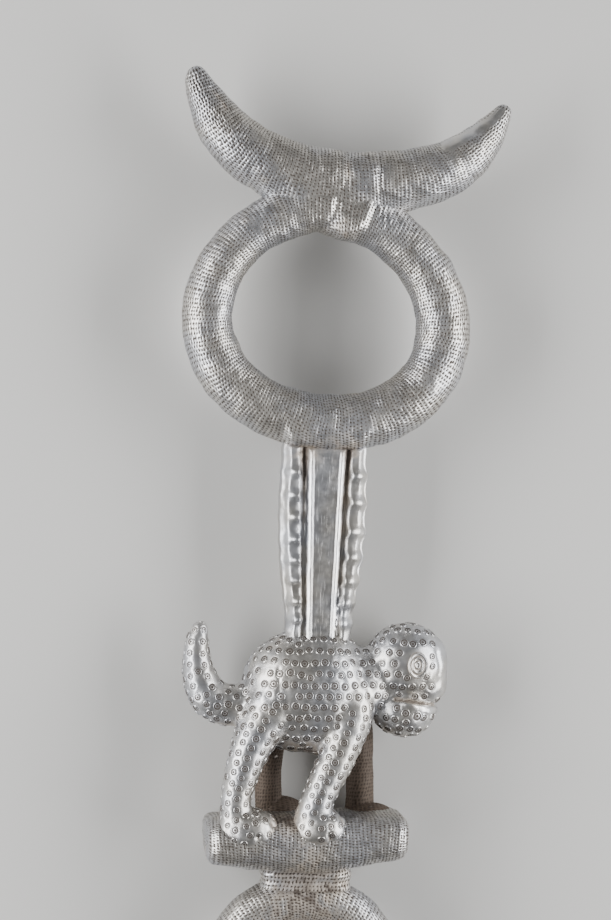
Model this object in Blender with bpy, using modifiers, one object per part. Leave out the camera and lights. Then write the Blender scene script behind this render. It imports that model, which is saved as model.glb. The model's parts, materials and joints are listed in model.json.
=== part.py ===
# Ceremonial staff: carved wood clad in thin silvery sheet metal, laid on its back.
# Run with: blender --background --python part.py

from math import atan, cos, pi, radians, sin, sqrt

import bmesh
import bpy
from mathutils import Matrix, Vector

# Every size is in metres. The staff is drawn with x to its right, y up its length from the middle
# of the bar, and z out of its front.

# Bar that the animal stands on: a rounded block, deepest in the middle of its underside.
BAR_LENGTH = 0.0840
BAR_OFFSET = -0.0007
BAR_HEIGHT = 0.0250
BAR_TOP_SHARE = 0.45
BAR_KEEL = 0.0055
BAR_DEPTH = 0.0400
BAR_SLANT = radians(2.5)

# Animal, from the top of the bar to the top of its back, which is divided into equal parts. The
# neck stands on it a little below the top.
ANIMAL_HEIGHT = 0.0780
ANIMAL_PARTS = 78
NECK_SEAT = 75

# Fluted neck between the animal's back and the upper ring.
NECK_LENGTH = 0.0775
NECK_OFFSET = 0.0014
NECK_WIDTH = 0.0364
NECK_FOOT_WIDTH = 0.0252
NECK_HEAD_WIDTH = 0.0344
NECK_DEPTH = 0.0130
PANEL_WIDTH = 0.0140
PANEL_RISE = 0.0014
BEAD_RADIUS = 0.0016
SCALLOP_PITCH = 0.0090
SCALLOP_RADIUS = 0.0034

# Upper ring: mean radius of its centre line, and how far that line leaves a true circle.
RING_RADIUS = 0.0471
RING_STRETCH = 0.0030
RING_TURN = radians(-9.5)
RING_PEAK = 0.0008
RING_TUBE = 0.0110
RING_SWELL = 0.0008
RING_SWELL_TURN = radians(-60.0)

# Crescent on the ring: reach, rise and thickness of each horn from the lowest point between them.
CRESCENT_OFFSET = 0.0080
CRESCENT_OVERLAP = 0.0104
CRESCENT_THICKNESS = 0.0258
LEFT_HORN_REACH = 0.0680
LEFT_HORN_RISE = 0.0445
RIGHT_HORN_REACH = 0.0660
RIGHT_HORN_RISE = 0.0360
HORN_EARLY_RISE = 0.42
LEFT_HORN_TAPER = (6, 0.58)
RIGHT_HORN_TAPER = (4, 0.72)

# Lower ring, and the short link that joins it to the bar.
LOWER_RING_RADIUS = 0.0340
LOWER_RING_TUBE = 0.0100
LINK_WIDTH = 0.0360
LINK_LENGTH = 0.0010
LINK_DEPTH = 0.0190
LINK_ROUNDING = 0.0045

# Shaft below the lower ring, with a collar at its head and a slight swell at its foot.
SHAFT_LENGTH = 0.5600
SHAFT_HEAD_RADIUS = 0.0145
SHAFT_END_RADIUS = 0.0105
COLLAR_RADIUS = 0.0175
COLLAR_LENGTH = 0.0120
FOOT_RADIUS = 0.0125
FOOT_LENGTH = 0.0240
FOOT_EDGE = 0.0015

# Depth that the resting plane takes off the backs of the bar and the foot.
FLAT_DEPTH = 0.0006

# Colour and finish of the sheet metal.
SHEET_COLOUR = (0.60, 0.60, 0.61, 1.0)
SHEET_ROUGHNESS = 0.38
SHEET_METALLIC = 1.0

UP = pi / 2
DOWN = -pi / 2


def ring_reach(angle):
    # Distance from the upper ring's middle to the centre of its tube.
    return (RING_RADIUS + RING_STRETCH * cos(2 * (angle - RING_TURN))
            - RING_PEAK * sin(3 * angle))


def ring_tube(angle):
    # Radius of the upper ring's tube, which is fuller low on the right.
    return RING_TUBE + RING_SWELL * cos(angle - RING_SWELL_TURN)


# Places along the staff that follow from the sizes above.
BAR_TOP = BAR_HEIGHT * BAR_TOP_SHARE
BAR_BOTTOM = BAR_TOP - BAR_HEIGHT
PART = ANIMAL_HEIGHT / ANIMAL_PARTS
NECK_FOOT = BAR_TOP + NECK_SEAT * PART
NECK_HEAD = NECK_FOOT + NECK_LENGTH
RING_Y = NECK_HEAD + ring_reach(DOWN) + ring_tube(DOWN)
RING_CREST = RING_Y + ring_reach(UP)
CRESCENT_Y = RING_CREST + ring_tube(UP) + CRESCENT_THICKNESS / 2 - CRESCENT_OVERLAP
LOWER_RING_TOP = BAR_BOTTOM - LINK_LENGTH
LOWER_RING_Y = LOWER_RING_TOP - LOWER_RING_TUBE - LOWER_RING_RADIUS
SHAFT_HEAD_Y = LOWER_RING_Y - LOWER_RING_RADIUS
FOOT_Y = SHAFT_HEAD_Y - LOWER_RING_TUBE - SHAFT_LENGTH


def clear_scene():
    for thing in list(bpy.data.objects):
        bpy.data.objects.remove(thing, do_unlink=True)


def new_collection(name):
    collection = bpy.data.collections.new(name)
    bpy.context.scene.collection.children.link(collection)
    return collection


def sheet_material():
    material = bpy.data.materials.new("silvery_sheet")
    material.use_nodes = True
    shader = material.node_tree.nodes["Principled BSDF"]
    shader.inputs["Base Color"].default_value = SHEET_COLOUR
    shader.inputs["Roughness"].default_value = SHEET_ROUGHNESS
    shader.inputs["Metallic"].default_value = SHEET_METALLIC
    return material


def add_mesh(name, mesh, collection, axis):
    thing = bpy.data.objects.new(name, mesh)
    collection.objects.link(thing)
    thing.parent = axis
    return thing


def add_bmesh(name, shape, collection, axis):
    mesh = bpy.data.meshes.new(name)
    shape.to_mesh(mesh)
    shape.free()
    return add_mesh(name, mesh, collection, axis)


# Shapes shared by the carving

def smooth_line(stations, count):
    # Points along one smooth line through the stations, each of them x, y, z and a radius.
    rows = [Vector(row) for row in stations]
    rows = [2 * rows[0] - rows[1]] + rows + [2 * rows[-1] - rows[-2]]
    spans = len(stations) - 1
    line = []
    for index in range(count):
        place = index / (count - 1) * spans
        first = min(int(place), spans - 1)
        f = place - first
        a, b, c, d = rows[first:first + 4]
        line.append(0.5 * (2 * b + (c - a) * f + (2 * a - 5 * b + 4 * c - d) * f ** 2
                           + (3 * b - a - 3 * c + d) * f ** 3))
    return line


def rounded_tip(line):
    # The line with a dome added past its first point.
    tip = line[0]
    out = Vector((tip - line[1])[:3]).normalized()
    dome = []
    for angle in (radians(75), radians(50), radians(25)):
        place = Vector(tip[:3]) + out * tip[3] * sin(angle)
        dome.append(Vector((*place, tip[3] * cos(angle))))
    return dome + line


def tube(name, line, sides, collection, axis, closed=False):
    # A round tube along the line, swept as a curve and then made one closed mesh.
    curve = bpy.data.curves.new(name + "_line", "CURVE")
    curve.dimensions = "3D"
    curve.bevel_depth = 1.0
    curve.bevel_resolution = sides // 2 - 2
    curve.use_fill_caps = not closed
    spline = curve.splines.new("POLY")
    spline.points.add(len(line) - 1)
    spline.use_cyclic_u = closed
    for point, row in zip(spline.points, line):
        point.co = (row[0], row[1], row[2], 1.0)
        point.radius = row[3]
    swept = bpy.data.objects.new(name + "_line", curve)
    collection.objects.link(swept)
    seen = swept.evaluated_get(bpy.context.evaluated_depsgraph_get())
    mesh = bpy.data.meshes.new_from_object(seen)
    mesh.name = name
    shape = bmesh.new()
    shape.from_mesh(mesh)
    bmesh.ops.remove_doubles(shape, verts=shape.verts, dist=0.00001)
    bmesh.ops.recalc_face_normals(shape, faces=shape.faces)
    shape.to_mesh(mesh)
    shape.free()
    thing = add_mesh(name, mesh, collection, axis)
    thing.matrix_world = swept.matrix_world
    bpy.data.objects.remove(swept, do_unlink=True)
    bpy.data.curves.remove(curve)
    return thing


def ball(name, centre, radii, segments, collection, axis):
    # An egg shape with its poles on the left and right.
    shape = bmesh.new()
    size = Matrix.Diagonal((*radii, 1.0)) @ Matrix.Rotation(pi / 2, 4, "Y")
    bmesh.ops.create_uvsphere(shape, u_segments=segments, v_segments=segments * 2 // 3,
                              radius=1.0, matrix=Matrix.Translation(centre) @ size)
    return add_bmesh(name, shape, collection, axis)


def block(name, centre, size, turn, rounding, steps, collection, axis):
    # A box whose edges are rounded by the given radius.
    shape = bmesh.new()
    bmesh.ops.create_cube(shape, size=1.0, matrix=Matrix.Diagonal((*size, 1.0)))
    thing = add_bmesh(name, shape, collection, axis)
    thing.location = centre
    thing.rotation_euler = (0.0, 0.0, turn)
    if rounding > 0:
        bevel = thing.modifiers.new("rounding", "BEVEL")
        bevel.width = rounding
        bevel.segments = steps
        bevel.limit_method = "NONE"
    return thing


def loft(name, sections, collection, axis):
    # A closed skin over sections that differ in outline but have as many corners each.
    shape = bmesh.new()
    loops = [[shape.verts.new(corner) for corner in section] for section in sections]
    corners = len(loops[0])
    for low, high in zip(loops, loops[1:]):
        for index in range(corners):
            after = (index + 1) % corners
            shape.faces.new((low[index], low[after], high[after], high[index]))
    shape.faces.new(reversed(loops[0]))
    shape.faces.new(loops[-1])
    bmesh.ops.recalc_face_normals(shape, faces=shape.faces)
    return add_bmesh(name, shape, collection, axis)


# Shaft

def shaft_profile():
    # Distance from the axis and height, down the outer side from the head to the foot.
    head = SHAFT_HEAD_Y
    collar = SHAFT_HEAD_Y - LOWER_RING_TUBE
    inset = (COLLAR_RADIUS - SHAFT_HEAD_RADIUS) / 2
    middle = collar - COLLAR_LENGTH / 2
    swell = FOOT_Y + FOOT_LENGTH
    return [
        (0.0, head),
        (SHAFT_HEAD_RADIUS, head),
        (SHAFT_HEAD_RADIUS, collar),
        (COLLAR_RADIUS - inset / 2, collar - COLLAR_LENGTH / 6),
        (COLLAR_RADIUS, middle),
        (COLLAR_RADIUS - inset / 2, collar - COLLAR_LENGTH * 5 / 6),
        (SHAFT_HEAD_RADIUS, collar - COLLAR_LENGTH),
        (SHAFT_END_RADIUS, swell + FOOT_LENGTH / 2),
        (FOOT_RADIUS, swell),
        (FOOT_RADIUS, FOOT_Y + FOOT_EDGE),
        (FOOT_RADIUS - FOOT_EDGE, FOOT_Y),
        (0.0, FOOT_Y),
    ]


def build_shaft(collection, axis):
    # The turned shaft, which every other form is joined to.
    sides = 20
    shape = bmesh.new()
    points = [shape.verts.new((radius, 0.0, height)) for radius, height in shaft_profile()]
    for upper, lower in zip(points, points[1:]):
        shape.edges.new((upper, lower))
    thing = add_bmesh("staff", shape, collection, axis)
    thing.rotation_euler = (-pi / 2, 0.0, 0.0)
    screw = thing.modifiers.new("turning", "SCREW")
    screw.axis = "Z"
    screw.angle = 2 * pi
    screw.steps = sides
    screw.render_steps = sides
    screw.use_merge_vertices = True
    screw.merge_threshold = 0.0001
    return thing


# Bar

def bar_section(share, shrink):
    # Rounded outline across the bar at a share of the way from its middle to an end.
    corners = 18
    squareness = 2 / 3
    bottom = BAR_BOTTOM + BAR_KEEL * abs(share)
    middle = (BAR_TOP + bottom) / 2
    half = (BAR_TOP - bottom) / 2 * shrink
    depth = BAR_DEPTH / 2 * shrink
    outline = []
    for corner in range(corners):
        angle = 2 * pi * (corner + 0.5) / corners
        up = abs(sin(angle)) ** squareness * (1 if sin(angle) > 0 else -1)
        out = abs(cos(angle)) ** squareness * (1 if cos(angle) > 0 else -1)
        outline.append((share * BAR_LENGTH / 2, middle + half * up, depth * out))
    return outline


def build_bar(collection, axis):
    half = [(1.0, 0.72), (0.965, 0.90), (0.90, 0.98), (0.78, 1.0), (0.4, 1.0)]
    stations = [(-share, shrink) for share, shrink in half] + [(0.0, 1.0)] + half[::-1]
    sections = [bar_section(share, shrink) for share, shrink in stations]
    bar = loft("bar", sections, collection, axis)
    bar.location = (BAR_OFFSET, 0.0, 0.0)
    bar.rotation_euler = (0.0, 0.0, BAR_SLANT)
    return bar


# Rings and crescent

def upper_ring_point(angle):
    # Centre and radius of the upper ring's tube at an angle from the right-hand side.
    reach = ring_reach(angle)
    return Vector((reach * cos(angle), RING_Y + reach * sin(angle), 0.0, ring_tube(angle)))


def lower_ring_point(angle):
    return Vector((LOWER_RING_RADIUS * cos(angle), LOWER_RING_Y + LOWER_RING_RADIUS * sin(angle),
                   0.0, LOWER_RING_TUBE))


def horn_point(reach, rise, taper, share):
    # Centre and radius of a horn at a share of the way from the middle to its tip. It rises gently
    # at first and steeply near the tip, and stays full until late before it tapers.
    height = rise * (HORN_EARLY_RISE * share ** 2 + (1 - HORN_EARLY_RISE) * share ** 5)
    fullness, fall = taper
    radius = CRESCENT_THICKNESS / 2 * (1 - share ** fullness) ** fall
    return Vector((CRESCENT_OFFSET + reach * share, CRESCENT_Y + height, 0.0, radius))


def crescent_line(steps):
    # From the left horn's tip, which is the fuller one, to the right horn's tip. The steps shorten
    # towards each tip and stop just short of it, so that the tip is blunt.
    short = 0.35
    shares = [sin(pi / 2 * step / (steps + short)) for step in range(steps + 1)]
    left = [horn_point(-LEFT_HORN_REACH, LEFT_HORN_RISE, LEFT_HORN_TAPER, share)
            for share in shares]
    right = [horn_point(RIGHT_HORN_REACH, RIGHT_HORN_RISE, RIGHT_HORN_TAPER, share)
             for share in shares]
    return left[:0:-1] + right


def build_rings(collection, axis):
    upper_steps = 48
    lower_steps = 36
    upper = [upper_ring_point(2 * pi * step / upper_steps) for step in range(upper_steps)]
    lower = [lower_ring_point(2 * pi * step / lower_steps) for step in range(lower_steps)]
    link_foot = LOWER_RING_TOP - LOWER_RING_TUBE / 2
    return [
        tube("upper_ring", upper, 12, collection, axis, closed=True),
        tube("lower_ring", lower, 12, collection, axis, closed=True),
        tube("crescent", crescent_line(14), 12, collection, axis),
        block("link", (0.0, link_foot / 2, 0.0), (LINK_WIDTH, -link_foot, LINK_DEPTH), 0.0,
              LINK_ROUNDING, 2, collection, axis),
    ]


# Folds and knot, as multiples of the ring's tube, from the middle of the tube at the ring's crest

FOLDS = {
    "fold_left": [(-0.60, -0.60, 0.68, 0.14), (-0.30, -0.10, 0.82, 0.27), (0.10, 0.75, 0.70, 0.14)],
    "fold_right": [(1.05, -0.60, 0.68, 0.13), (1.28, -0.10, 0.82, 0.24), (1.40, 0.55, 0.74, 0.13)],
    "fold_outer": [(1.80, -0.75, 0.60, 0.10), (1.88, -0.20, 0.80, 0.18), (1.75, 0.45, 0.78, 0.10)],
    "wrinkle_left": [(-0.35, 1.25, 0.86, 0.10), (-0.45, 1.65, 1.00, 0.20),
                     (-0.42, 2.05, 0.84, 0.10)],
    "wrinkle_right": [(1.38, 1.15, 0.86, 0.10), (1.36, 1.62, 1.02, 0.22),
                      (1.32, 2.05, 0.84, 0.10)],
}
KNOT_CENTRE = Vector((0.34, -0.38, 0.30))
KNOT_RADII = (0.80, 0.66, 0.90)


def build_folds(collection, axis):
    # The wrapped knot under the crescent, and the folds of sheet that run over it.
    crest = Vector((0.0, RING_CREST, 0.0))
    forms = []
    for name, rows in FOLDS.items():
        line = [Vector((*(crest + Vector(row[:3]) * RING_TUBE), row[3] * RING_TUBE))
                for row in smooth_line(rows, 5)]
        forms.append(tube(name, line, 6, collection, axis))
    radii = [share * RING_TUBE for share in KNOT_RADII]
    forms.append(ball("knot", crest + KNOT_CENTRE * RING_TUBE, radii, 12, collection, axis))
    return forms


# Neck

def neck_half_width(share):
    # Half the neck's width, from its foot at share 0 to its head at share 1.
    widest = 0.7
    if share < widest:
        spread = sin(pi / 2 * share / widest)
        return (NECK_FOOT_WIDTH + (NECK_WIDTH - NECK_FOOT_WIDTH) * spread) / 2
    drop = ((share - widest) / (1 - widest)) ** 2
    return (NECK_WIDTH + (NECK_HEAD_WIDTH - NECK_WIDTH) * drop) / 2


def neck_height(share):
    return NECK_FOOT + NECK_LENGTH * share


def panel_half_width(share):
    # The smooth panel narrows towards the animal's back as the neck does.
    return PANEL_WIDTH / 2 * (0.75 + 0.25 * share)


def neck_section(share):
    w = neck_half_width(share)
    y = neck_height(share)
    d = NECK_DEPTH / 2
    chamfer = d / 2
    half = [(w, d - chamfer), (w - chamfer, d), (chamfer - w, d), (-w, d - chamfer)]
    outline = half + [(x, -z) for x, z in reversed(half)]
    return [(NECK_OFFSET + x, y, z) for x, z in outline]


def panel_section(share):
    w = panel_half_width(share)
    z = NECK_DEPTH / 2 + PANEL_RISE
    y = neck_height(share)
    return [(NECK_OFFSET + x, y, depth) for x, depth in ((w, z), (-w, z), (-w, -z), (w, -z))]


def scallop_line(side, face):
    # A ridge of lobes: wide where each lobe ends, waisted half a pitch on.
    lobes = round(NECK_LENGTH / SCALLOP_PITCH)
    steps = lobes * 3
    line = []
    for step in range(steps + 1):
        share = step / steps
        wave = 0.5 + 0.5 * cos(2 * pi * share * lobes)
        radius = SCALLOP_RADIUS * (0.62 + 0.38 * wave)
        x = NECK_OFFSET + side * (neck_half_width(share) - SCALLOP_RADIUS)
        line.append(Vector((x, neck_height(share), face * (NECK_DEPTH / 2 - 0.1 * SCALLOP_RADIUS),
                            radius)))
    return line


def bead_line(side, face):
    z = face * (NECK_DEPTH / 2 + PANEL_RISE)
    line = []
    for share in (-0.02, 0.25, 0.5, 0.75, 1.02):
        x = NECK_OFFSET + side * panel_half_width(share)
        line.append(Vector((x, neck_height(share), z, BEAD_RADIUS * (0.8 + 0.2 * share))))
    return line


def build_neck(collection, axis):
    sunk = 0.08
    shares = [-sunk, 0.0, 0.12, 0.25, 0.4, 0.55, 0.7, 0.85, 1.0, 1.0 + sunk]
    forms = [
        loft("neck_blade", [neck_section(share) for share in shares], collection, axis),
        loft("neck_panel", [panel_section(share) for share in (-sunk, 1.0 + sunk)],
             collection, axis),
    ]
    for side, side_name in ((-1, "left"), (1, "right")):
        for face, face_name in ((1, "front"), (-1, "back")):
            ending = side_name + "_" + face_name
            forms.append(tube("scallops_" + ending, scallop_line(side, face), 6,
                              collection, axis))
            forms.append(tube("bead_" + ending, bead_line(side, face), 6, collection, axis))
    return forms


# Animal, in parts from the top of the bar

LEGS = {
    "near_hind": [(-14, 50, 7, 12), (-19, 41.6, 8.5, 10.5), (-24.7, 31.3, 10, 8.6),
                  (-28.9, 19, 11.5, 7.3), (-31.2, 9, 12.3, 6.4), (-31.5, -3, 12, 6.6)],
    "near_front": [(13, 51, 7, 11), (15.3, 42.5, 9, 9.4), (12.1, 30.2, 11, 8.0),
                   (7.7, 19.4, 12, 7.4), (3, 8.7, 12.8, 6.9), (-0.8, -3, 12.5, 6.8)],
    "far_hind": [(-13, 44, -7, 10), (-15.1, 31.1, -9.5, 6.8), (-15.8, 18, -10.5, 5.6),
                 (-15.4, 4, -11, 5.7), (-15, -5, -11, 6.2)],
    "far_front": [(15, 46, -6, 10), (21.3, 32, -9.5, 6.8), (23, 18.6, -10.5, 5.9),
                  (23.6, 5, -11, 6.1), (24, -5, -11, 6.6)],
}

PAWS = {
    "near_hind": ((-25.9, -5.7, 12.5), (12.2, 8.6, 9.4)),
    "near_front": ((4.1, -4.6, 13.0), (11.4, 8.2, 9.4)),
    "far_hind": ((-9.5, -1.0, -11.0), (10.0, 5.8, 7.8)),
    "far_front": ((27.5, -1.0, -8.0), (11.0, 6.0, 10.0)),
}

TAIL = [(-48.4, 75.0, 0, 3.0), (-49.2, 69.2, 0, 4.5), (-48.8, 62.1, 0, 5.9), (-47.0, 54.4, 0, 7.3),
        (-43.2, 47.8, 0, 8.4), (-37.2, 44.6, 0, 8.7), (-29.5, 44.6, 0, 8.9), (-21.0, 46.5, 0, 9.5)]

BODY = {
    "skull": ((40.2, 64.3, 0.0), (18.0, 17.3, 15.0)),
    "haunch": ((-4.6, 50.8, 0.0), (25.4, 25.6, 18.8)),
    "shoulder": ((3.2, 51.2, 0.0), (22.3, 26.6, 19.0)),
    "throat": ((22.0, 55.0, 0.0), (12.0, 15.0, 12.5)),
    "muzzle": ((47.2, 56.0, 0.0), (10.4, 10.2, 10.6)),
    "jaw": ((39.3, 43.9, 0.0), (13.6, 11.2, 12.4)),
    "lip": ((45.0, 46.2, 0.0), (8.6, 4.6, 9.4)),
}

EYE = {"place": (42.2, 64.4), "ring": 4.4, "ring_wire": 0.8, "dome": 2.1}
MOUTH = {"place": (45.5, 49.0), "size": (24.0, 1.3, 9.0), "start": 6.5}
MOUTH_SLANT = radians(-9.0)


def animal_point(x, y, z):
    return Vector((x * PART, BAR_TOP + y * PART, z * PART))


def animal_line(rows, count):
    line = smooth_line(rows, count)
    return [Vector((*animal_point(*row[:3]), row[3] * PART)) for row in line]


def animal_ball(name, centre, radii, segments, collection, axis):
    return ball(name, animal_point(*centre), [radius * PART for radius in radii], segments,
                collection, axis)


def build_eye(face, collection, axis):
    # One raised ring round a domed pupil, square to the skull's surface.
    centre, radii = BODY["skull"]
    x, y = EYE["place"]
    share = Vector(((x - centre[0]) / radii[0], (y - centre[1]) / radii[1]))
    depth = sqrt(1 - share.length_squared)
    out = Vector((share.x / radii[0], share.y / radii[1], face * depth / radii[2]))
    place = animal_point(x, y, face * depth * radii[2])
    turn = out.to_track_quat("Z", "Y")
    name = "front" if face > 0 else "back"
    line = []
    steps = 16
    for step in range(steps):
        angle = 2 * pi * step / steps
        spot = place + turn @ Vector((cos(angle), sin(angle), 0.0)) * EYE["ring"] * PART
        line.append(Vector((*spot, EYE["ring_wire"] * PART)))
    ring = tube("eye_ring_" + name, line, 6, collection, axis, closed=True)
    shape = bmesh.new()
    matrix = Matrix.Translation(place) @ turn.to_matrix().to_4x4()
    bmesh.ops.create_icosphere(shape, subdivisions=1, radius=EYE["dome"] * PART, matrix=matrix)
    return [ring, add_bmesh("eye_dome_" + name, shape, collection, axis)]


def build_animal(collection, axis):
    forms = []
    for name, (centre, radii) in BODY.items():
        segments = 18 if max(radii) > 17 else 12
        forms.append(animal_ball(name, centre, radii, segments, collection, axis))
    for name, rows in LEGS.items():
        forms.append(tube("leg_" + name, animal_line(rows, 9), 10, collection, axis))
    for name, (centre, radii) in PAWS.items():
        forms.append(animal_ball("paw_" + name, centre, radii, 12, collection, axis))
    forms.append(tube("tail", rounded_tip(animal_line(TAIL, 12)), 10, collection, axis))
    for face in (1, -1):
        forms += build_eye(face, collection, axis)
    return forms


def build_mouth(collection, axis):
    # A slit on each cheek, open at the front of the muzzle.
    slits = []
    for face, name in ((1, "front"), (-1, "back")):
        size = [length * PART for length in MOUTH["size"]]
        centre = animal_point(*MOUTH["place"], face * (MOUTH["size"][2] / 2 + MOUTH["start"]))
        slits.append(block("mouth_" + name, centre, size, MOUTH_SLANT, 0.0, 1, collection, axis))
    return slits


# Whole staff

def fuse(staff, form, operation):
    boolean = staff.modifiers.new(form.name, "BOOLEAN")
    boolean.operation = operation
    boolean.solver = "EXACT"
    boolean.object = form


def hide_tool(thing):
    thing.hide_render = True
    thing.display_type = "WIRE"


def resting_tilt():
    # Angle that brings the back of the bar and the back of the foot onto one plane.
    return atan((BAR_DEPTH / 2 - FOOT_RADIUS) / -FOOT_Y)


def build_floor_cut(collection):
    # The half-space below the resting plane.
    shape = bmesh.new()
    bmesh.ops.create_cube(shape, size=1.0)
    thing = add_bmesh("resting_plane", shape, collection, None)
    side = 3 * (NECK_HEAD - FOOT_Y)
    thing.scale = (side, side, BAR_DEPTH)
    thing.location = (0.0, 0.0, -BAR_DEPTH / 2)
    return thing


def centre_on_origin(staff, axis):
    # Brings the middle of the finished outline over the world origin.
    bpy.context.view_layer.update()
    seen = staff.evaluated_get(bpy.context.evaluated_depsgraph_get())
    corners = [seen.matrix_world @ vertex.co for vertex in seen.data.vertices]
    middle_x = (min(c.x for c in corners) + max(c.x for c in corners)) / 2
    middle_y = (min(c.y for c in corners) + max(c.y for c in corners)) / 2
    axis.location.x -= middle_x
    axis.location.y -= middle_y


def build():
    clear_scene()
    parts = new_collection("ceremonial_staff")
    tools = new_collection("staff_tools")
    axis = bpy.data.objects.new("staff_axis", None)
    parts.objects.link(axis)

    staff = build_shaft(parts, axis)
    staff.data.materials.append(sheet_material())

    forms = [build_bar(tools, axis)] + build_rings(tools, axis) + build_neck(tools, axis)
    forms += build_animal(tools, axis) + build_folds(tools, axis)
    for form in forms:
        fuse(staff, form, "UNION")
    cuts = build_mouth(tools, axis) + [build_floor_cut(tools)]
    for cut in cuts:
        fuse(staff, cut, "DIFFERENCE")
    for tool in forms + cuts:
        hide_tool(tool)

    tilt = resting_tilt()
    axis.rotation_euler = (tilt, 0.0, 0.0)
    axis.location.z = BAR_DEPTH / 2 * cos(tilt) - FLAT_DEPTH
    centre_on_origin(staff, axis)


build()
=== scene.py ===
# Ceremonial staff: carved wood under thin silvery sheet, punched all over, lying on its back.
# Shapes are worked out in millimetres, with x to the staff's right, y up it from the middle of its
# bar and z out of its face. Each finished piece is then laid where the frame has the staff.
import itertools
import json
import math

import bmesh
import bpy
import numpy as np
from mathutils import Matrix, Vector
from mathutils.bvhtree import BVHTree
from mathutils.kdtree import KDTree


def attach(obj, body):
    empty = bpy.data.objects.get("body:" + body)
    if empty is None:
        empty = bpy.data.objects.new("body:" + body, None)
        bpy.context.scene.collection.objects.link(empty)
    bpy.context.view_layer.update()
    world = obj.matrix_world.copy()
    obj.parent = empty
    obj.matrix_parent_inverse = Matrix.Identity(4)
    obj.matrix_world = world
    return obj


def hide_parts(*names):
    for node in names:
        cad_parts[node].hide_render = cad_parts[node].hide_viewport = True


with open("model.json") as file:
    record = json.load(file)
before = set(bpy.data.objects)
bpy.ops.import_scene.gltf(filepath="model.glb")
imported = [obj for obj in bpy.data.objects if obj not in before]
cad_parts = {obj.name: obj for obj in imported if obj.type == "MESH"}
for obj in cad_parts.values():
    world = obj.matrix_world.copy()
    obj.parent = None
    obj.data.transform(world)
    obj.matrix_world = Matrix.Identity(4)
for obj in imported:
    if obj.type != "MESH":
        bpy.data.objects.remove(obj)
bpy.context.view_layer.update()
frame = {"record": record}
print("frame loaded")

mm = 0.001
fullTurn = 2 * math.pi
upward, downward = math.pi / 2, -math.pi / 2

# Numbers and curves

def middles(count):
    # The middles of so many even parts of one.
    return (np.arange(count) + 0.5) / count

def unit(vectors):
    return vectors / np.maximum(np.linalg.norm(vectors, axis=-1, keepdims=True), 1e-9)

def signedPower(value, power):
    return np.abs(value) ** power * np.sign(value)

def softNoise(points, size, seed, waves=20):
    # Smooth bumps of about the given size, mostly between -1 and 1.
    draw = np.random.default_rng(seed)
    ways = draw.normal(size=(waves, 3))
    ways *= (draw.uniform(0.7, 1.5, waves) / np.linalg.norm(ways, axis=1))[:, None] * fullTurn / size
    shifts = draw.uniform(0, fullTurn, waves)
    return np.sin(points @ ways.T + shifts).sum(axis=-1) / math.sqrt(waves / 2) / 1.6

def smoothStep(value, low, high):
    share = np.clip((value - low) / (high - low), 0, 1)
    return share * share * (3 - 2 * share)

def bell(distance, width):
    return np.exp(-(distance / width) ** 2)

def smoothLine(stations, count):
    # Points along one smooth line through the stations.
    rows = np.array(stations, float)
    rows = np.concatenate([[2 * rows[0] - rows[1]], rows, [2 * rows[-1] - rows[-2]]])
    spans = len(stations) - 1
    place = np.linspace(0, spans, count)
    first = np.minimum(place.astype(int), spans - 1)
    f = (place - first)[:, None]
    a, b, c, d = (rows[first + k] for k in range(4))
    return 0.5 * (2 * b + (c - a) * f + (2 * a - 5 * b + 4 * c - d) * f ** 2
                  + (3 * b - a - 3 * c + d) * f ** 3)

def evenLine(line, count):
    # The same line with its points an even distance apart.
    steps = np.linalg.norm(np.diff(line[:, :3], axis=0), axis=1)
    travel = np.concatenate([[0], np.cumsum(steps)])
    places = np.linspace(0, travel[-1], count)
    return np.stack([np.interp(places, travel, column) for column in line.T], -1)

def lineLength(line):
    return np.linalg.norm(np.diff(line[:, :3], axis=0), axis=1).sum()

def lineDistance(points, stations):
    # Distance across the staff's face from each point to a smooth line through the stations.
    line = smoothLine(stations, 24)
    best = np.full(points.shape[:-1], 1e9)
    for start, end in zip(line[:-1], line[1:]):
        way = end - start
        along = np.clip(((points[..., :2] - start) @ way) / (way @ way), 0, 1)
        away = points[..., :2] - start - along[..., None] * way
        best = np.minimum(best, np.linalg.norm(away, axis=-1))
    return best

def tubeDistance(points, line):
    # Height of each point over the surface of a tube, given as rows of centre and radius.
    best = np.full(points.shape[:-1], 1e9)
    for row in line:
        best = np.minimum(best, np.linalg.norm(points - row[:3], axis=-1) - row[3])
    return best

def weldLift(height, width):
    # How far a surface swells where another comes within the given width of it.
    return width / 4 * np.clip(1 - np.abs(height) / width, 0, 1) ** 2

# Meshes

def rowSteps(grid, closed):
    return np.roll(grid, -1, 0) - np.roll(grid, 1, 0) if closed else np.gradient(grid, axis=0)

def gridNormals(grid, closed):
    # Outward normals of a grid of points whose columns run round the piece.
    around = np.roll(grid, -1, 1) - np.roll(grid, 1, 1)
    normals = unit(np.cross(rowSteps(grid, closed), around))
    outward = ((grid - grid.mean(1, keepdims=True)) * normals).sum()
    return normals if outward > 0 else -normals

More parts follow.
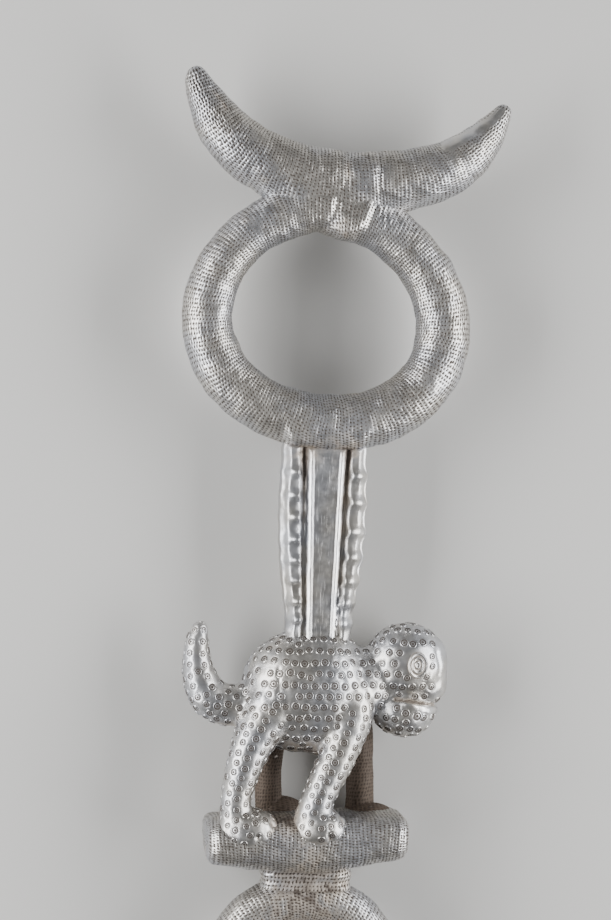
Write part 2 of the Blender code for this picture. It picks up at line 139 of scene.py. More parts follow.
def gridShell(grid, closed, marks):
    # Points, faces and marks of a closed shell, with a fan over each open end.
    shape = grid.shape[:2]
    index = np.arange(shape[0] * shape[1]).reshape(shape)
    if closed:
        index = np.concatenate([index, index[:1]])
    after = np.roll(index, -1, 1)
    quads = np.stack([index[:-1], after[:-1], after[1:], index[1:]], -1).reshape(-1, 4)
    points, faces = grid.reshape(-1, 3), [quads]
    marks = {mark: np.broadcast_to(value, shape).ravel() for mark, value in marks.items()}
    if not closed:
        first = 0 * index[0] + len(points)
        faces += [np.stack([after[0], index[0], first], -1), np.stack([index[-1], after[-1], first + 1], -1)]
        points = np.concatenate([points, grid[:1].mean(1), grid[-1:].mean(1)])
        marks = {mark: np.append(value, value[[0, -1]]) for mark, value in marks.items()}
    a, b, c = (points[quads[:, k]] - points.mean(0) for k in range(3))
    if (a * np.cross(b, c)).sum() < 0:
        faces = [f[:, ::-1] for f in faces]
    return points, faces, marks

def joined(shells):
    # Several shells as one list of points, faces and marks.
    starts = np.cumsum([0] + [len(shell[0]) for shell in shells])
    return (np.concatenate([shell[0] for shell in shells]),
            [block + start for shell, start in zip(shells, starts) for block in shell[1]],
            {mark: np.concatenate([shell[2][mark] for shell in shells]) for mark in shells[0][2]})

def newThing(name, data):
    thing = bpy.data.objects.new(name, data)
    bpy.context.scene.collection.objects.link(thing)
    return thing

def pointsOf(mesh):
    points = np.zeros(len(mesh.vertices) * 3)
    mesh.vertices.foreach_get("co", points)
    return points.reshape(-1, 3)

def setMark(mesh, mark, values):
    mesh.attributes.new(mark, "FLOAT", "POINT").data.foreach_set("value", values.astype(np.float32))

def toBody(name, shell, material):
    # A plain mesh object in metres, not yet laid down.
    points, faces, marks = shell
    mesh = bpy.data.meshes.new(name)
    mesh.from_pydata((points * mm).tolist(), [], [face for block in faces for face in block.tolist()])
    mesh.shade_smooth()
    for mark, values in marks.items():
        setMark(mesh, mark, values)
    mesh.materials.append(material)
    return newThing(name, mesh)

def layDown(thing):
    # Turns a finished piece into its place on the floor and flattens what would go under it.
    thing.data.transform(placeStaff)
    spots = pointsOf(thing.data)
    spots[:, 2] = np.maximum(spots[:, 2], 0)
    thing.data.vertices.foreach_set("co", spots.ravel())
    thing.data.update()
    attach(thing, "root")
    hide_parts("staff")
    print(f"{thing.name}: {len(thing.data.loops) - 2 * len(thing.data.polygons)} triangles")

def bake(thing):
    # Turns what the modifiers make into a plain mesh and takes them off.
    seen = thing.evaluated_get(bpy.context.evaluated_depsgraph_get())
    old, thing.data = thing.data, bpy.data.meshes.new_from_object(seen)
    thing.modifiers.clear()
    bpy.data.meshes.remove(old)
    thing.data.name = thing.name
    return thing

# Node trees

def newTree(kind, name, inputs, outputs):
    # Each socket has its label and its kind, or the number that it starts at.
    tree = bpy.data.node_groups.new(name, kind)
    for way, sockets in (("INPUT", inputs), ("OUTPUT", outputs)):
        for label, value in sockets.items():
            plain = isinstance(value, str)
            socketKind = "NodeSocket" + (value if plain else type(value).__name__.capitalize())
            socket = tree.interface.new_socket(label, in_out=way, socket_type=socketKind)
            if not plain:
                socket.default_value = value
    return tree, tree.nodes.new("NodeGroupInput").outputs, tree.nodes.new("NodeGroupOutput")

def addNode(tree, kind, values=None, **settings):
    made = tree.nodes.new(kind)
    for name, value in settings.items():
        setattr(made, name, value)
    for place, value in (values or {}).items():
        if isinstance(value, bpy.types.NodeSocket):
            tree.links.new(value, made.inputs[place])
        else:
            made.inputs[place].default_value = value
    return made

def maths(tree, operation, *values):
    return addNode(tree, "ShaderNodeMath", dict(enumerate(values)), operation=operation).outputs[0]

def shortMaths(tree):
    # The commonest sums of a tree: a product, a sum, and a product with a sum.
    return (lambda *values: maths(tree, "MULTIPLY", *values), lambda *values: maths(tree, "ADD", *values),
            lambda *values: maths(tree, "MULTIPLY_ADD", *values))

def fade(tree, value, low, high, start=0.0, end=1.0):
    # Eases from start to end as the value goes from low to high.
    return addNode(tree, "ShaderNodeMapRange",
                   {"Value": value, "From Min": low, "From Max": high, "To Min": start, "To Max": end},
                   interpolation_type="SMOOTHSTEP").outputs[0]

def useTree(thing, tree, **values):
    # Puts a geometry tree on a piece, with its inputs set by their identifiers.
    modifier = thing.modifiers.new(tree.name, "NODES")
    modifier.node_group = tree
    for item in tree.interface.items_tree:
        if item.in_out == "INPUT" and item.name in values:
            modifier[item.identifier] = values[item.name]

def readMark(tree, name, kind="FLOAT"):
    return addNode(tree, "GeometryNodeInputNamedAttribute", {"Name": name}, data_type=kind).outputs[0]

def dressed(tree, geometry, material, result):
    # Every geometry tree ends in real faces with their material.
    whole = addNode(tree, "GeometryNodeRealizeInstances", {0: geometry}).outputs[0]
    final = addNode(tree, "GeometryNodeSetMaterial", {"Geometry": whole, "Material": material})
    tree.links.new(final.outputs[0], result.inputs[0])
    return tree

# Punched dots: every dot is one cell of the marks row and column, pressed in along the normal

punch = {"along": 1.55, "around": 1.38, "depth": 0.42, "jitter": 0.22, "groove": 0.08, "seed": 5,
         "reach": (0.07, 0.42)}

def punchTree():
    tree, given, result = newTree(
        "GeometryNodeTree", "punched dots",
        {"Geometry": "Geometry", "Depth": 0.0003, "Jitter": 0.2, "Groove": 0.2, "Seed": 1,
         "Material": "Material"}, {"Geometry": "Geometry"})
    times, plus, timesPlus = shortMaths(tree)
    row, column, strength = (readMark(tree, name) for name in ("row", "column", "punch"))
    cell = addNode(tree, "ShaderNodeCombineXYZ", {
        0: maths(tree, "FLOOR", row), 1: maths(tree, "FLOOR", column), 2: given["Seed"]}).outputs[0]
    chance = addNode(tree, "ShaderNodeTexWhiteNoise", {"Vector": cell}, noise_dimensions="3D")
    chance = addNode(tree, "ShaderNodeSeparateXYZ", {0: chance.outputs["Color"]}).outputs

    def offset(place, luck):
        # How far a point is from the middle of its dot, in cells.
        shift = times(plus(luck, -0.5), given["Jitter"])
        return maths(tree, "SUBTRACT", plus(maths(tree, "FRACT", place), -0.5), shift)

    away, aside = times(offset(row, chance[0]), 0.95), offset(column, chance[1])
    reach = maths(tree, "SQRT", plus(times(away, away), times(aside, aside)))
    dot = times(fade(tree, reach, *punch["reach"], 1.0, 0.0), timesPlus(chance[2], 0.5, 0.75))
    dot = times(dot, strength)
    furrow = fade(tree, maths(tree, "ABSOLUTE", away), 0.0, 0.38, 1.0, 0.0)
    furrow = times(times(furrow, strength), given["Groove"])
    push = times(times(plus(dot, furrow), given["Depth"]), -1.0)
    normal = addNode(tree, "GeometryNodeInputNormal").outputs[0]
    press = addNode(tree, "ShaderNodeVectorMath", {0: normal, "Scale": push}, operation="SCALE").outputs[0]
    moved = addNode(tree, "GeometryNodeSetPosition", {"Geometry": given["Geometry"], "Offset": press})
    kept = addNode(tree, "GeometryNodeStoreNamedAttribute",
                   {"Geometry": moved.outputs[0], "Name": "dot", "Value": dot},
                   data_type="FLOAT", domain="POINT")
    return dressed(tree, kept.outputs[0], given["Material"], result)

def dotCells(grid, seed):
    # Marks row and column for a grid with three rows to a dot, at an even pitch round each row.
    rows, columns = grid.shape[:2]
    cells, full = np.arange(rows) // 3, columns // 3
    perimeters = np.linalg.norm(grid - np.roll(grid, -1, 1), axis=-1).sum(1)
    counts = np.round(perimeters[np.minimum(cells * 3 + 1, rows - 1)] / punch["around"])
    counts = np.where(counts > 0.8 * full, full, np.maximum(4, counts))
    draw = np.random.default_rng(seed)
    loose, stepped = draw.uniform(0, 1, cells[-1] + 1), draw.integers(0, 3, cells[-1] + 1) / 3
    shift = np.where(counts == full, stepped[cells], loose[cells])
    column = middles(columns) * counts[:, None] + shift[:, None]
    return (np.arange(rows)[:, None] + 0.5) / 3 + 0 * column, column

def punchedBody(name, shell, seed):
    thing = toBody(name, shell, punchedSheet)
    useTree(thing, punchNodes, Depth=punch["depth"] * mm, Jitter=punch["jitter"],
            Groove=punch["groove"], Seed=punch["seed"] + seed, Material=punchedSheet)
    layDown(bake(thing))

# Dirt that stays in the hollows: place, reach and strength, front and back alike

stains = [
    ((5, 257, 8), 6.0, 0.6), ((0, 166, 6), 14, 0.45), ((-10, 163, 6), 7, 0.5), ((12, 163, 6), 7, 0.7),
    ((-36, 255, 4), 9, 0.6), ((36, 262, 4), 8, 0.45), ((5, 281, 12), 5, 0.4), ((-52, 296, 4), 12, 0.35),
    ((-30, 278, 4), 9, 0.7), ((-25, 195, 2), 12, 0.35), ((22, 186, 2), 12, 0.4), ((-50, 235, 0), 10, 0.3),
    ((-43, 205, 0), 8, 0.3), ((-11, 8, 12), 9, 1.0), ((-39, -4, 4), 8, 0.8), ((0, -17, 8), 24, 0.85),
    ((-10, 17, 14), 6, 0.9), ((-32, 49, 0), 11, 0.5), ((-16, 24, -8), 13, 1.0), ((22, 24, -8), 15, 1.0),
    ((2, 36, 4), 12, 0.7), ((29, 60, 0), 7, 0.75), ((42, 60.5, 12), 6, 0.5), ((-16, 84, 6), 9, 0.5),
    ((-8, -40, 6), 18, 0.4), ((20, -40, 6), 14, 0.3),
]

def stainedness(points, seed):
    total = 0.18 * smoothStep(softNoise(points, 22, seed), 0.2, 1.1)
    for place, reach, strength in stains:
        far = np.linalg.norm(points - np.array(place, float), axis=-1) / reach
        total = total + strength * np.exp(-1.4 * far ** 2)
    return np.clip(total * (0.85 + 0.22 * softNoise(points, 4.5, seed + 3)), 0, 1)

def handMade(points, seed):
    # The slow unevenness of carving and of sheet hammered down on it.
    return 0.24 * softNoise(points, 16, seed) + 0.12 * softNoise(points, 6, seed + 1)

def surfaceMarks(points, relief, punchShare, seed):
    # What the tree and the materials read on a surface.
    rubbed = 0.4 * smoothStep(softNoise(points, 13, seed + 7), 0.7, 1.1)
    # Painted shade: the hollows and creases of the relief are darkened, as if in shadow.
    hollowShade = smoothStep(-relief, 0.25, 1.2)
    return {"punch": punchShare * (1 - rubbed),
            "grime": np.clip(stainedness(points, seed) + 0.6 * hollowShade, 0, 1),
            "worn": smoothStep(relief, 0.05, 0.7)}

def tubeGrid(line, columns, closed):
    # Points round a line that lies in the plane of the staff's face.
    along = unit(rowSteps(line, closed)[:, :3])
    aside = unit(np.stack([along[:, 1], -along[:, 0], 0 * along[:, 0]], -1))
    out = np.cross(aside, along)
    angle = middles(columns)[:, None] * fullTurn
    turn = np.cos(angle) * aside[:, None] + np.sin(angle) * out[:, None]
    return line[:, None, :3] + line[:, None, 3:4] * turn

def evenColumns(grid):
    # Spreads the points of each row evenly round it.
    return np.array([evenLine(np.concatenate([row, row[:1]]), len(row) + 1)[:-1] for row in grid])

def punchedShell(grid, closed, push, marks, seed):
    # A grid with its relief pushed out and its cells of dots marked, in rows that wander a little.
    row, column = dotCells(grid, seed)
    wander = 0.55 * softNoise(grid, 20, seed + 90)
    if not closed:
        wander[:4] = wander[-4:] = 0
    grid = grid + unit(rowSteps(grid, closed)) * wander[..., None]
    grid = grid + gridNormals(grid, closed) * push[..., None]
    return gridShell(grid, closed, {"row": row, "column": column, **marks})

# Bar

bar = {"length": 84.0, "offset": -0.7, "height": 25.0, "topShare": 0.45, "keel": 5.5,
       "depth": 40.0, "slant": 2.5, "squareness": 2 / 3, "around": 85,
       "ends": [(1.0, 0.72), (0.965, 0.90), (0.90, 0.98), (0.78, 1.0), (0.4, 1.0), (0.0, 1.0)]}
barTop = bar["height"] * bar["topShare"]
barBottom = barTop - bar["height"]

def barGrid():
    # From the middle of one end face, over the body, to the middle of the other.
    shares, shrinks = np.array(bar["ends"][::-1]).T
    body = middles(3 * round(bar["length"] / punch["along"])) * 2 - 1
    face = middles(3 * 8)
    share = np.concatenate([0 * face - 1, body, 0 * face + 1])[:, None]
    shrink = np.concatenate([face * shrinks[-1], np.interp(np.abs(body), shares, shrinks),
                             face[::-1] * shrinks[-1]])[:, None]
    angle = middles(3 * bar["around"]) * fullTurn
    bottom = barBottom + bar["keel"] * np.abs(share)
    x = share * bar["length"] / 2
    y = ((barTop + bottom) / 2
         + (barTop - bottom) / 2 * shrink * signedPower(np.sin(angle), bar["squareness"]))
    z = bar["depth"] / 2 * shrink * signedPower(np.cos(angle), bar["squareness"])
    slant = math.radians(bar["slant"])
    return np.stack([x * math.cos(slant) - y * math.sin(slant) + bar["offset"],
                     x * math.sin(slant) + y * math.cos(slant), z], -1)

def makeBar():
    grid = evenColumns(barGrid())
    front = smoothStep(grid[..., 2], 10, 19)
    relief = handMade(grid, 11)
    relief = relief - 0.5 * bell(lineDistance(grid, [(-19, 12), (-13, 6), (-8, 3)]), 2.0) * front
    marks = surfaceMarks(grid, relief, 1.15, 13)
    punchedBody("bar", punchedShell(grid, False, relief, marks, 12), 1)

# Lower ring and the link that joins it to the bar

lowerRing = {"radius": 34.0, "tube": 10.0, "linkWidth": 36.0, "linkLength": 1.0, "linkDepth": 19.0,
             "linkAround": 66}
lowerRingY = barBottom - lowerRing["linkLength"] - lowerRing["tube"] - lowerRing["radius"]

def lowerRingLine(count):
    angle, radius = middles(count) * fullTurn, lowerRing["radius"]
    return np.stack([radius * np.cos(angle), lowerRingY + radius * np.sin(angle), 0 * angle,
                     0 * angle + lowerRing["tube"]], -1)

def linkGrid():
    # A short rounded block, flaring into the bar above it and the ring below.
    top, bottom = -4.0, barBottom - lowerRing["linkLength"] - lowerRing["tube"] * 0.55
    y = top + (bottom - top) * middles(3 * round((top - bottom) / punch["along"]))[:, None]
    flare = 2.6 * bell(y - barBottom, 2.6) + 3.0 * bell(y - bottom, 3.0)
    angle = middles(3 * lowerRing["linkAround"]) * fullTurn
    x = (lowerRing["linkWidth"] / 2 + flare * 0.5) * signedPower(np.cos(angle), 0.6)
    z = (lowerRing["linkDepth"] / 2 + flare * 0.6) * signedPower(np.sin(angle), 0.6)
    return np.stack([x, y + 0 * x, z], -1)

def makeLowerRing():
    cells = round(fullTurn * lowerRing["radius"] / punch["along"])
    around = round(fullTurn * lowerRing["tube"] / punch["around"])
    shells = []
    for grid, closed, seed in ((tubeGrid(lowerRingLine(3 * cells), 3 * around, True), True, 21),
                               (evenColumns(linkGrid()), False, 25)):
        relief = handMade(grid, seed)
        marks = surfaceMarks(grid, relief, 1.0, seed + 2)
        shells.append(punchedShell(grid, closed, relief, marks, seed + 1))
    punchedBody("lower_ring", joined(shells), 2)

# Shaft: beyond the photo, so plainer, with punched bands and bare hammered sheet between them

shaft = {"length": 560.0, "headRadius": 14.5, "endRadius": 10.5, "collarRadius": 17.5,
         "collarLength": 12.0, "footRadius": 12.5, "footLength": 24.0, "footEdge": 1.5,
         "bands": 6, "bandCells": 8, "bandPitch": 92.0, "footCells": 14,
         "headCells": 28, "bareStep": 3.2}
shaftHead = lowerRingY - lowerRing["radius"]
collarTop = shaftHead - lowerRing["tube"]
footY = collarTop - shaft["length"]

def shaftRadius(y):
    head, collar, foot = shaft["headRadius"], shaft["collarRadius"], shaft["footRadius"]
    length, swell = shaft["collarLength"], footY + shaft["footLength"]
    shoulder = collar - (collar - head) / 4
    steps = [(footY, foot - shaft["footEdge"]), (footY + shaft["footEdge"], foot), (swell, foot),
             (swell + shaft["footLength"] / 2, shaft["endRadius"]), (collarTop - length, head),
             (collarTop - length * 5 / 6, shoulder), (collarTop - length / 2, collar),
             (collarTop - length / 6, shoulder), (collarTop, head), (shaftHead, head)]
    return np.interp(y, *np.array(steps).T)

def makeShaft():
    # Rows of the grid: bands with three rows to a dot, and wide bare steps between them.
    heights, bands = [footY], [0.0]
    step = punch["along"] / 3
    starts = footY + shaft["footLength"] + 22 + shaft["bandPitch"] * np.arange(shaft["bands"])
    starts = [footY + 2.5, *starts,
              collarTop - shaft["collarLength"] - shaft["headCells"] / 2 * punch["along"]]
    lengths = [shaft["footCells"]] + [shaft["bandCells"]] * shaft["bands"] + [shaft["headCells"]]
    for start, cells in zip(starts, lengths):
        bare = np.arange(heights[-1] + step, start - step, shaft["bareStep"])
        heights += [*bare, *(start + step * np.arange(cells * 3))]
        bands += [0.0] * len(bare) + [1.0] * (cells * 3)
    bare = np.arange(heights[-1] + step, shaftHead, step)
    heights, bands = np.append(heights, bare), np.append(bands, 0 * bare)
    columns = 3 * round(fullTurn * shaft["headRadius"] / punch["around"])
    line = np.stack([0 * heights, heights, 0 * heights, shaftRadius(heights)], -1)
    grid = tubeGrid(line, columns, False)
    relief = handMade(grid, 31) * 0.9 + 0.05 * softNoise(grid, 2.6, 34)
    aside = grid[..., 0] + 5.0    # the sheet's edges lap along the back
    lap = smoothStep(aside, -0.3, 0.3) * (1 - smoothStep(aside, 1.0, 9.0)) * (grid[..., 2] < 0)
    relief = relief + 0.3 * lap
    row = (np.cumsum(bands) - 0.5)[:, None] / 3 + np.zeros(columns)
    column = (np.arange(columns) + 0.5) / 3 + np.floor(row) % 3 / 3
    marks = surfaceMarks(grid, relief, bands[:, None], 33)
    grid = grid + gridNormals(grid, False) * relief[..., None]
    grid[0, :, 1] = footY
    punchedBody("shaft", gridShell(grid, False, {"row": row, "column": column, **marks}), 3)

# Neck

neck = {"seat": 75.0, "length": 77.5, "offset": 1.4, "footWidth": 25.2, "width": 36.4, "headWidth": 34.4,
        "depth": 13.0, "panel": 13.2, "panelRise": 1.4, "panelShift": 0.35, "edgeRise": 1.0, "sunk": 6.2,
        "ladderRise": 0.9, "rungRise": 2.0, "groove": 1.3,
        "left": {"inset": 3.0, "bulge": 2.3, "half": 3.5, "rung": 2.1,
                 "rungs": [92.6, 100.1, 108.9, 117.2, 125.9, 135.1, 144.3, 153.9]},
        "right": {"inset": 3.6, "bulge": 1.0, "half": 3.9, "rung": 2.6,
                  "rungs": [91.5, 100.1, 109.1, 119.1, 129.8, 142.0, 153.2]}}
neckFoot = barTop + neck["seat"]
neckHead = neckFoot + neck["length"]

def neckHalfWidth(share):
    widest = 0.7
    low = neck["footWidth"] + (neck["width"] - neck["footWidth"]) * np.sin(
        upward * np.clip(share, 0, widest) / widest)
    drop = np.clip((share - widest) / (1 - widest), 0, 1.2) ** 2
    return (low + (neck["headWidth"] - neck["width"]) * drop) / 2

def makeNeck():
    # A raised panel with sloping edges, a groove beside each and a ladder along each side.
    rows, frontPoints, sidePoints = 150, 104, 12
    y = np.linspace(neckFoot - neck["sunk"], neckHead + neck["sunk"], rows)[:, None]
    share = (y - neckFoot) / neck["length"]
    flare = 1.3 * bell(y - neckFoot, 4.0) + 0.6 * bell(neckHead - y, 3.0)
    left, right = neck["left"], neck["right"]
    bars, lobes = (sum(bell(y - place, side["rung"]) for place in side["rungs"]) for side in (left, right))
    leftEdge = 0.1 - neckHalfWidth(share) - flare - 0.25 * bars
    rightEdge = neckHalfWidth(share) + flare + 1.1 * lobes - 0.6
    depth = neck["depth"] / 2
    x = leftEdge + (rightEdge - leftEdge) * np.linspace(0, 1, frontPoints)
    panelHalf = neck["panel"] / 2 * (0.75 + 0.25 * share)
    fromPanel = np.abs(x - neck["panelShift"]) - panelHalf
    fromLeft, fromRight = x - leftEdge, rightEdge - x
    bevel = np.where(fromLeft < fromRight, 0.9, 0.5) * np.maximum(3.0 - np.minimum(fromLeft, fromRight), 0)
    base = front = depth - bevel - neck["groove"] * bell(fromPanel - 2.5, 0.9)
    for far, side, wave in ((fromLeft, left, bars), (fromRight, right, lobes)):
        wave = np.clip(wave, 0, 1)
        centre = side["inset"] + side["bulge"] * np.sin(0.88 * math.pi * np.clip(share, 0, 1))
        width = side["half"] * (0.86 + 0.14 * wave) * (1 - 0.2 * smoothStep(share, 0.8, 1.0))
        crown = np.clip(1 - ((far - centre) / width) ** 2, 0, 1) ** 0.38
        wedge = 0.1 + 1.7 * np.clip((far - centre) / (2 * width) + 0.5, 0, 1)
        front = np.maximum(front, base + (neck["ladderRise"] + neck["rungRise"] * wave * wedge) * crown)
    top = depth + neck["panelRise"]
    crest = top + neck["edgeRise"]
    slope = crest - 0.62 * np.maximum(fromPanel + 0.6, 0) - 4.0 * np.maximum(fromPanel - 1.2, 0)
    slope = np.minimum(slope, crest - 3.0 * np.maximum(-0.6 - fromPanel, 0))
    front = np.maximum(np.maximum(front, slope), np.where(fromPanel < 0, top, 0)) + 0.4 * flare
    # Its top goes in under the ring.
    tuck = 8.3 + 0.35 * np.maximum(neckHead - y, 0) - 2.0 * np.maximum(y - neckHead, 0)
    front = np.minimum(front, np.maximum(tuck, 3.0))
    front[:, 1:-1] = 0.2 * front[:, :-2] + 0.6 * front[:, 1:-1] + 0.2 * front[:, 2:]
    sides = 1 - 2 * np.linspace(0, 1, sidePoints + 2)[1:-1]
    x = np.concatenate([x, rightEdge + 0 * sides, x[:, ::-1], leftEdge + 0 * sides], 1)
    z = np.concatenate([front, front[:, -1:] * sides, -front[:, ::-1], -front[:, :1] * sides], 1)
    grid = np.stack([x + neck["offset"], y + 0 * x, z], -1)
    relief = 0.12 * softNoise(grid, 9, 41) + 0.05 * softNoise(grid, 3, 42)
    fromPanel = np.abs(x - neck["panelShift"]) - panelHalf
    # Painted shade: the groove beside the panel is darkened, more so towards the top where the neck goes in
    # under the ring.
    troughShade = bell(fromPanel - 2.6, 0.9) * smoothStep(np.abs(z), 3, 5)
    grime = stainedness(grid, 43) + troughShade * (0.35 + 0.65 * smoothStep(share, 0.55, 0.95))
    marks = {"grime": np.clip(grime, 0, 1), "worn": bell(fromPanel - 0.7, 1.3), "dot": 0 * fromPanel,
             "scratched": smoothStep(-fromPanel, 0.5, 2.0)}
    grid = grid + gridNormals(grid, False) * relief[..., None]
    layDown(toBody("neck", gridShell(grid, False, marks), smoothSheet))

# Upper ring

ring = {"radius": 47.1, "stretch": 3.0, "turn": -9.5, "peak": 0.8, "tube": 11.0,
        "swell": 0.8, "swellTurn": -60.0, "weld": 6.0, "seat": 0.62}
# Folds of sheet over the crest, on the front: line, height and width
ringFolds = [
    ([(-0.2, 269.2), (-2.5, 262.4), (-5.7, 258.1)], 1.2, 2.6),
    ([(3.7, 268.0), (2.2, 264.0), (0.2, 260.6), (-4.2, 255.4)], -1.1, 1.2),
    ([(6.3, 262.5), (6.0, 258.7)], 0.8, 2.6),
    ([(15.0, 266.7), (14.3, 263.7), (11.9, 258.6)], 1.1, 2.4),
    ([(17.3, 266.1), (16.2, 260.6), (15.1, 257.6), (10.6, 254.0)], -1.0, 1.1),
    ([(19.3, 265.6), (19.6, 256.9)], 0.5, 0.8),
    ([(21.8, 265.4), (21.7, 256.6)], 0.5, 0.8),
    ([(24.4, 264.9), (24.3, 256.0)], 0.4, 0.8),
]
# A knot and a notch on the crest's inner side: place, reach and rise
ringSwells = [((5.0, 256.2, 8.0), (8.2, 5.6, 8.5), 4.2), ((-4.5, 253.8, 1.0), (4.5, 4.0, 8.0), -1.6)]

def ringReach(angle):
    # From the ring's middle to the centre of its tube.
    return (ring["radius"] + ring["stretch"] * np.cos(2 * (angle - math.radians(ring["turn"])))
            - ring["peak"] * np.sin(3 * angle))

def ringTube(angle):
    return ring["tube"] + ring["swell"] * np.cos(angle - math.radians(ring["swellTurn"]))

ringY = neckHead + ringReach(downward) + ringTube(downward)
ringCrest = ringY + ringReach(upward)

def ringLine(count):
    angle = middles(count) * fullTurn
    reach = ringReach(angle)
    return np.stack([reach * np.cos(angle), ringY + reach * np.sin(angle), 0 * angle, ringTube(angle)], -1)

def foldRelief(points, folds):
    # The front carries the folds, the back only a softened echo of them.
    relief = 0.0
    front = smoothStep(points[..., 2], -1.0, 5.0) + 0.35 * smoothStep(-points[..., 2], 1.0, 5.0)
    for line, height, width in folds:
        relief = relief + 0.65 * height * bell(lineDistance(points, line), 1.25 * width) * front
    return relief

def makeRing():
    cells = round(fullTurn * ring["radius"] / punch["along"])
    around = round(fullTurn * ring["tube"] / punch["around"])
    line = ringLine(3 * cells)[:, None]
    grid = tubeGrid(line[:, 0], 3 * around, True)
    # Where it stands on the neck its underside is squarer, so that its edge covers the neck's top.
    middle, radius = line[..., 1], line[..., 3]
    low = smoothStep(19.5 - np.abs(grid[..., 0] - neck["offset"]), 0, 5)
    low = low * (grid[..., 1] < middle) * (middle < ringY)
    grid[..., 2] = radius * signedPower(grid[..., 2] / radius, 1 - ring["seat"] * low)
    relief = handMade(grid, 51)
    high = grid[..., 1] > ringCrest - 26
    lift = np.zeros(grid.shape[:2])
    lift[high] = weldLift(tubeDistance(grid[high], crescentLine(90)), ring["weld"])
    folds = foldRelief(grid, ringFolds)
    marks = surfaceMarks(grid, relief + folds, 1.0, 53)
    for place, reach, rise in ringSwells:
        lift += rise * np.exp(-1.3 * (((grid - np.array(place)) / np.array(reach)) ** 2).sum(-1))
    punchedBody("upper_ring", punchedShell(grid, True, relief + lift + folds, marks, 52), 5)

# Crescent

crescent = {"offset": 8.0, "overlap": 10.4, "thickness": 25.8, "earlyRise": 0.42, "blunt": 0.35,
            "tip": 2.3, "left": {"reach": -68.0, "rise": 44.5, "fullness": 6, "fall": 0.57},
            "right": {"reach": 66.0, "rise": 36.0, "fullness": 4, "fall": 0.60}}
crescentY = ringCrest + ringTube(upward) + crescent["thickness"] / 2 - crescent["overlap"]
crescentFolds = [
    ([(15.8, 286.9), (15.3, 278.2), (14.6, 272.4)], 0.9, 1.8),
    ([(19.2, 287.1), (19.0, 278.9), (19.2, 273.0)], -0.8, 0.9),
    ([(5.2, 289.7), (6.3, 281.1), (4.9, 273.5)], -0.9, 1.1),
    ([(-6.6, 290.9), (-5.6, 284.6), (-4.5, 279.3)], -0.7, 1.0),
    ([(-1.0, 289.9), (-0.6, 284.6), (-0.5, 278.3)], 0.6, 2.0),
    ([(32.2, 291.8), (33.9, 286.9), (35.1, 281.9)], -0.5, 1.1),
    ([(44.6, 294.7), (47.3, 290.3), (49.2, 285.8)], -0.5, 1.1),
    ([(-51.6, 311.6), (-47.5, 306.9), (-43.7, 300.5), (-39.8, 294.9), (-35.4, 290.2)], -0.9, 1.3),
    ([(-14.2, 272.2), (-7.9, 272.1), (5.1, 272.8), (11.8, 273.6)], -0.5, 0.7),
]
smoothFacet = {"line": [(48.5, 293.8), (54.5, 298.1), (62.1, 303.4), (69.2, 309.3)], "width": 3.8,
               "drop": 0.25}
innerFacet = {"line": [(-49, 316), (-43, 309), (-38, 301), (-33, 295), (-25, 288)], "width": 4.0,
              "drop": 0.5}
deepBand = {"line": [(-58, 313), (-53, 302), (-45, 292), (-34, 283)], "width": 5.0, "share": 0.6}

def hornLine(horn, count):
    # It rises gently at first and steeply near the tip, stays full until late and ends blunt.
    steps = np.arange(count) / (count - 1) * 14
    share = np.sin(upward * steps / (14 + crescent["blunt"]))
    rise = horn["rise"] * (crescent["earlyRise"] * share ** 2 + (1 - crescent["earlyRise"]) * share ** 5)
    radius = crescent["thickness"] / 2 * (1 - share ** horn["fullness"]) ** horn["fall"]
    line = np.stack([crescent["offset"] + horn["reach"] * share, crescentY + rise, 0 * share], -1)
    far, tip = np.linalg.norm(line - line[-1], axis=1), crescent["tip"]
    bump = np.where(far < tip, np.sqrt(np.clip(tip ** 2 - (tip - far) ** 2, 0, None)),
                    tip * bell(far - tip, 8.0))
    return np.concatenate([line, np.sqrt(radius ** 2 + bump ** 2)[:, None]], 1)

def crescentLine(count):
    left, right = hornLine(crescent["left"], 2 * count), hornLine(crescent["right"], 2 * count)
    return evenLine(np.concatenate([left[:0:-1], right]), count)

def makeCrescent():
    length = lineLength(crescentLine(400))
    line = crescentLine(3 * round(length / punch["along"]))
    around = round(math.pi * crescent["thickness"] / punch["around"])
    grid = tubeGrid(line, 3 * around, False)
    low = grid[..., 1] < crescentY + 12
    lift = np.zeros(grid.shape[:2])
    lift[low] = weldLift(tubeDistance(grid[low], ringLine(160)), ring["weld"])
    folds = foldRelief(grid, crescentFolds)
    front = smoothStep(np.abs(grid[..., 2]), 1.0, 4.0)
    facet = smoothStep(smoothFacet["width"] - lineDistance(grid, smoothFacet["line"]), 0.0, 1.8) * front
    inner = bell(lineDistance(grid, innerFacet["line"]), innerFacet["width"])
    deep = deepBand["share"] * bell(lineDistance(grid, deepBand["line"]), deepBand["width"])
    relief = handMade(grid, 61) - smoothFacet["drop"] * facet - innerFacet["drop"] * inner
    marks = surfaceMarks(grid, 0.5 * relief + folds, (1.0 + deep) * (1.0 - facet), 63)
    push = relief + lift + folds
    push[0] = push[-1] = 0
    punchedBody("crescent", punchedShell(grid, False, push, marks, 62), 6)

# Animal: soft forms, in millimetres from the top of the bar, melted together

animal = {"voxel": 0.78, "smoothing": 22, "legAround": 28, "pawAround": 34}
